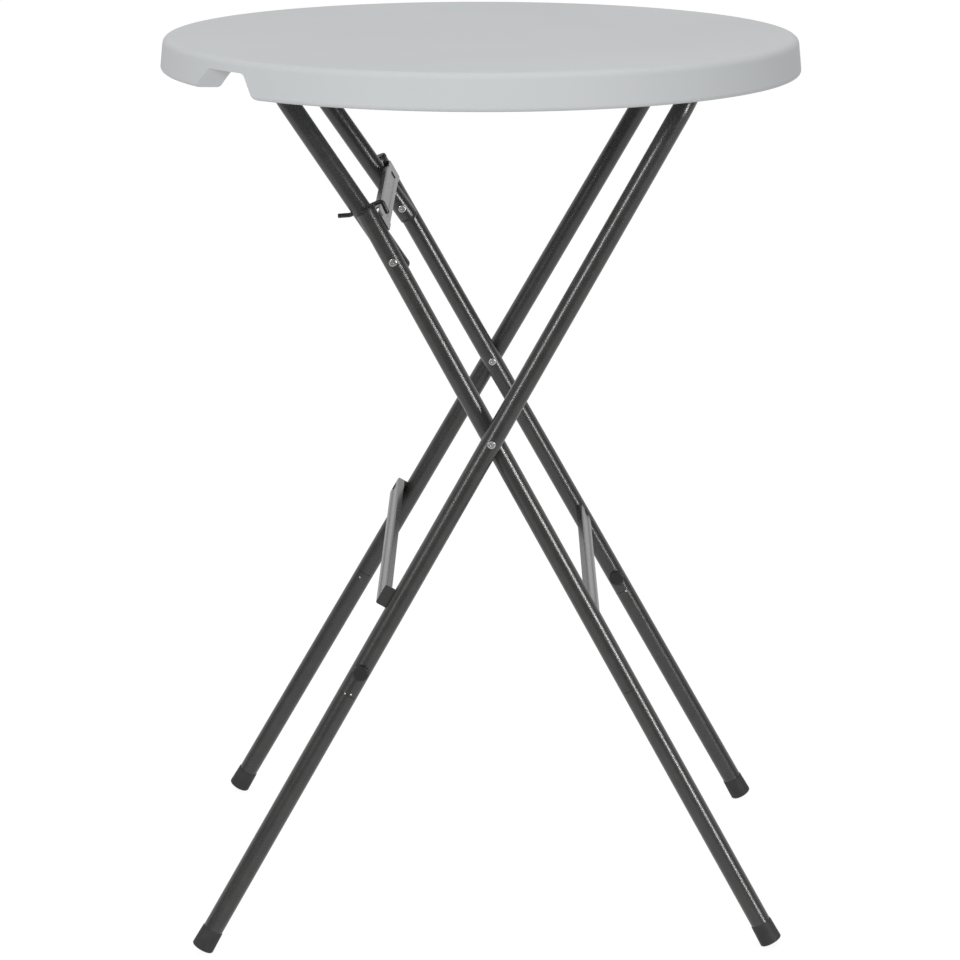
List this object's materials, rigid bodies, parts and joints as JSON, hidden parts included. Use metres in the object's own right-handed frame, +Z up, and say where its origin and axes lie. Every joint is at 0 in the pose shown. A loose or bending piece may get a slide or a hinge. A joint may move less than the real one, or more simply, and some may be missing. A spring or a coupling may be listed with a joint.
{
  "type": "folding bar table",
  "caption": "High round table with a moulded top on two crossing tube frames that fold flat under it, held open by a wire latch",
  "frame": {"origin": "on the floor under the centre of the round top, with the table open and standing", "axes": "+X from the short link's hinge to the long frame's hinge, +Y to the rear, +Z up"},
  "size_m": [0.7996, 0.7998, 1.1],
  "materials": {
    "top_plastic": "moulded, finely textured, light grey",
    "frame_paint": "hammered dark grey powder coat",
    "fitting_plastic": "moulded black",
    "foot_rubber": "moulded dark rubber",
    "latch_paint": "smooth black coating",
    "zinc": "zinc plated"
  },
  "bodies": {
    "root": {"tabletop": "top_plastic", "link_saddle_front": "fitting_plastic", "link_saddle_rear": "fitting_plastic", "outer_saddle_front": "fitting_plastic", "outer_saddle_rear": "fitting_plastic", "saddle_screws": "zinc"},
    "outer": {"outer_frame": "frame_paint", "outer_brace": "frame_paint", "outer_front_lower_leg": "frame_paint", "outer_rear_lower_leg": "frame_paint", "outer_front_foot": "foot_rubber", "outer_rear_foot": "foot_rubber", "outer_front_knob": "fitting_plastic", "outer_rear_knob": "fitting_plastic", "outer_pivot_rivets": "zinc", "outer_pivot_washers": "zinc"},
    "link": {"link_frame": "frame_paint", "link_end_plugs": "fitting_plastic"},
    "latch": {"latch_hook": "latch_paint"},
    "inner": {"inner_front_leg": "frame_paint", "inner_rear_leg": "frame_paint", "lock_brace": "frame_paint", "inner_brace": "frame_paint", "inner_front_lower_leg": "frame_paint", "inner_rear_lower_leg": "frame_paint", "inner_front_foot": "foot_rubber", "inner_rear_foot": "foot_rubber", "inner_front_knob": "fitting_plastic", "inner_rear_knob": "fitting_plastic", "stub_caps": "fitting_plastic", "elbow_rivets": "zinc", "elbow_washers": "zinc", "inner_pivot_rivets": "zinc", "inner_pivot_washers": "zinc"}
  },
  "joints": [
    {"name": "outer_hinge", "type": "hinge", "parent": "root", "child": "outer", "pos_m": [0.258, 0, 1.066], "axis": [0, 1, 0], "range_deg": [0, 60.49]},
    {"name": "link_hinge", "type": "hinge", "parent": "root", "child": "link", "pos_m": [-0.252, 0, 1.066], "axis": [0, 1, 0], "range_deg": [-55.56, 0]},
    {"name": "elbow", "type": "hinge", "parent": "link", "child": "inner", "pos_m": [-0.10422, 0, 0.85057], "axis": [0, 1, 0], "range_deg": [0, 174.56]},
    {"name": "latch_swivel", "type": "hinge", "parent": "link", "child": "latch", "pos_m": [-0.14325, -0.18288, 0.90747], "axis": [0.9103, 0, 0.4139], "range_deg": [0, 100]}
  ],
  "couplings": [
    {"joint": "link_hinge", "follows": "outer_hinge", "ratio": -0.91832},
    {"joint": "elbow", "follows": "outer_hinge", "ratio": 2.8855}
  ]
}
